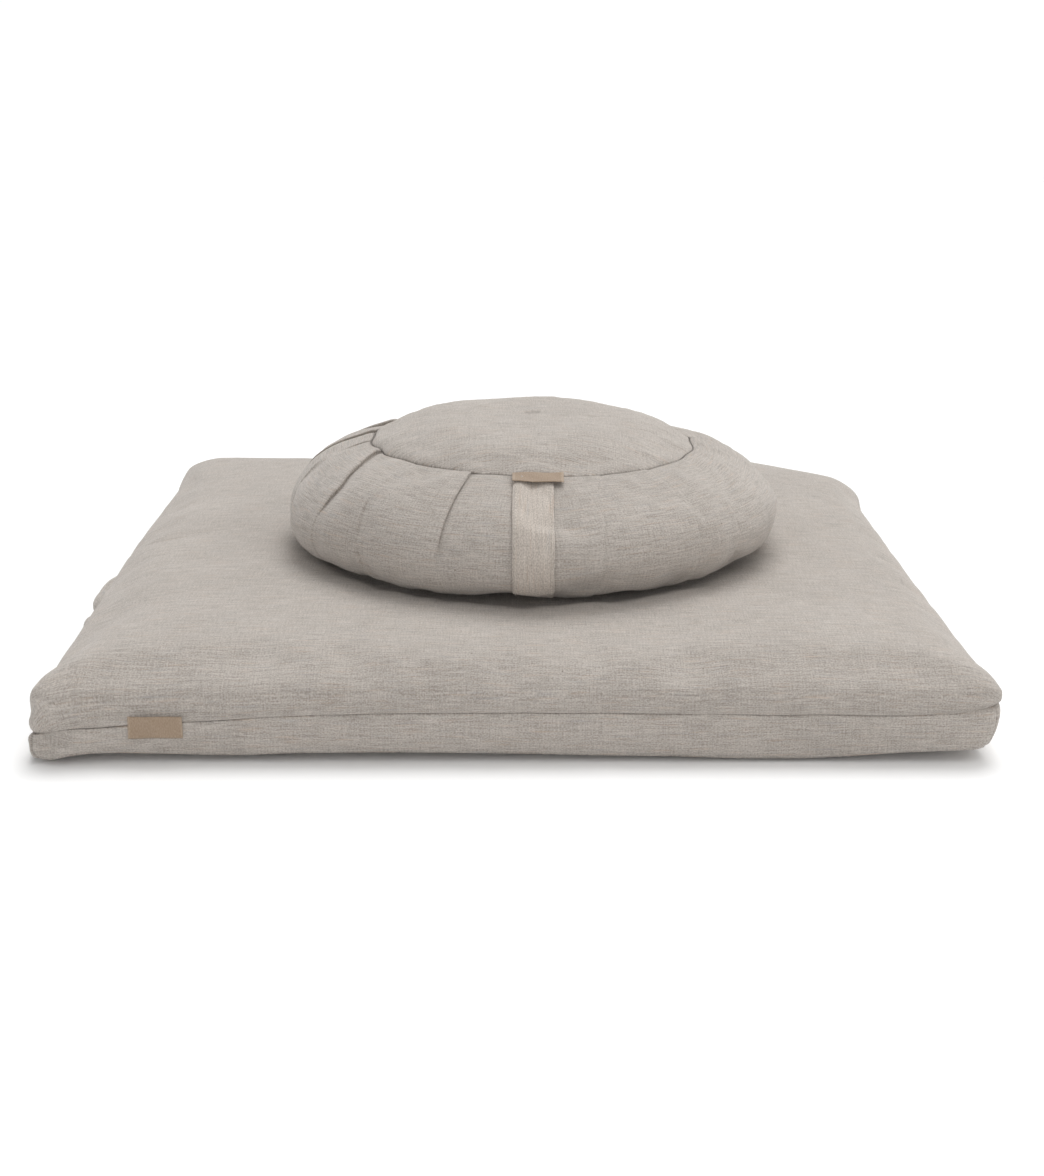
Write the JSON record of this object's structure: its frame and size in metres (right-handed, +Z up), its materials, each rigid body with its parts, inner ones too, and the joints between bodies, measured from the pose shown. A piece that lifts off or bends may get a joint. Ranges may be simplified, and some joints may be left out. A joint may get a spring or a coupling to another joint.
{
  "type": "floor cushion set",
  "caption": "Floor sitting set: a low square boxed mat cushion with a round pleated seat cushion resting on it, both in zipped linen covers with a handle strap and sewn labels.",
  "frame": {"origin": "middle of the mat's underside, on the floor", "axes": "+Z up, +Y towards the mat's back edge (its long way), +X to the right seen from the front, where the strap and the labels are"},
  "size_m": [0.715, 0.747, 0.1974],
  "materials": {
    "linen": "plain weave natural linen with slubs, matte",
    "muslin": "unbleached cotton muslin, matte",
    "batting": "felted cotton, matte",
    "hulls": "loose buckwheat hulls, dry and matte",
    "zip_tape": "woven polyester tape, matte",
    "zip_coil": "nylon coil, satin",
    "zip_metal": "plated zinc alloy, satin",
    "label": "woven label, plain, matte"
  },
  "bodies": {
    "mat": {"mat_bottom_panel": "linen", "mat_top_panel": "linen", "mat_boxing_front": "linen", "mat_boxing_right": "linen", "mat_boxing_left": "linen", "mat_boxing_back_lower": "linen", "mat_boxing_back_upper": "linen", "mat_liner_lower": "muslin", "mat_liner_upper": "muslin", "mat_batting_lower": "batting", "mat_batting_middle": "batting", "mat_batting_upper": "batting", "mat_zip_tape_upper": "zip_tape", "mat_zip_tape_lower": "zip_tape", "mat_zip_coil_upper": "zip_coil", "mat_zip_coil_lower": "zip_coil", "mat_zip_top_stop_upper": "zip_metal", "mat_zip_top_stop_lower": "zip_metal", "mat_zip_bottom_stop": "zip_metal"},
    "mat_zip_slider": {"mat_zip_slider": "zip_metal"},
    "mat_zip_pull": {"mat_zip_pull": "zip_metal"},
    "mat_label": {"mat_label": "label"},
    "zafu": {"zafu_bottom_panel": "linen", "zafu_top_panel": "linen", "zafu_pleated_band": "linen", "zafu_zip_panel_lower": "linen", "zafu_zip_panel_upper": "linen", "zafu_liner_top": "muslin", "zafu_liner_bottom": "muslin", "zafu_liner_wall": "muslin", "zafu_buckwheat_hulls": "hulls", "zafu_zip_tape_upper": "zip_tape", "zafu_zip_tape_lower": "zip_tape", "zafu_zip_coil_upper": "zip_coil", "zafu_zip_coil_lower": "zip_coil", "zafu_zip_top_stop_upper": "zip_metal", "zafu_zip_top_stop_lower": "zip_metal", "zafu_zip_bottom_stop": "zip_metal", "zafu_strap": "linen"},
    "zafu_zip_slider": {"zafu_zip_slider": "zip_metal"},
    "zafu_zip_pull": {"zafu_zip_pull": "zip_metal"},
    "zafu_label": {"zafu_label": "label"}
  },
  "joints": [
    {"name": "zafu_lift", "type": "slide", "parent": "mat", "child": "zafu", "axis": [0, 0, 1], "range_m": [0, 0.25]},
    {"name": "mat_zip_slide", "type": "slide", "parent": "mat", "child": "mat_zip_slider", "axis": [-1, 0, 0], "range_m": [0, 0.548]},
    {"name": "mat_zip_pull_turn", "type": "hinge", "parent": "mat_zip_slider", "child": "mat_zip_pull", "pos_m": [0.274, 0.3702, 0.021], "axis": [0, 0, -1], "range_deg": [0, 180]},
    {"name": "mat_label_flap", "type": "hinge", "parent": "mat", "child": "mat_label", "pos_m": [-0.265, -0.3689, 0.0374], "axis": [-1, 0, 0], "range_deg": [0, 110]},
    {"name": "zafu_zip_slide", "type": "hinge", "parent": "zafu", "child": "zafu_zip_slider", "pos_m": [0.013, -0.03, 0.113], "axis": [0, 0, 1], "range_deg": [0, 93]},
    {"name": "zafu_zip_pull_turn", "type": "hinge", "parent": "zafu_zip_slider", "child": "zafu_zip_pull", "pos_m": [0.17314, 0.12114, 0.113], "axis": [0, 0, -1], "range_deg": [0, 180]},
    {"name": "zafu_label_flap", "type": "hinge", "parent": "zafu", "child": "zafu_label", "pos_m": [0.017, -0.172, 0.1746], "axis": [-1, 0, 0], "range_deg": [0, 150]}
  ]
}
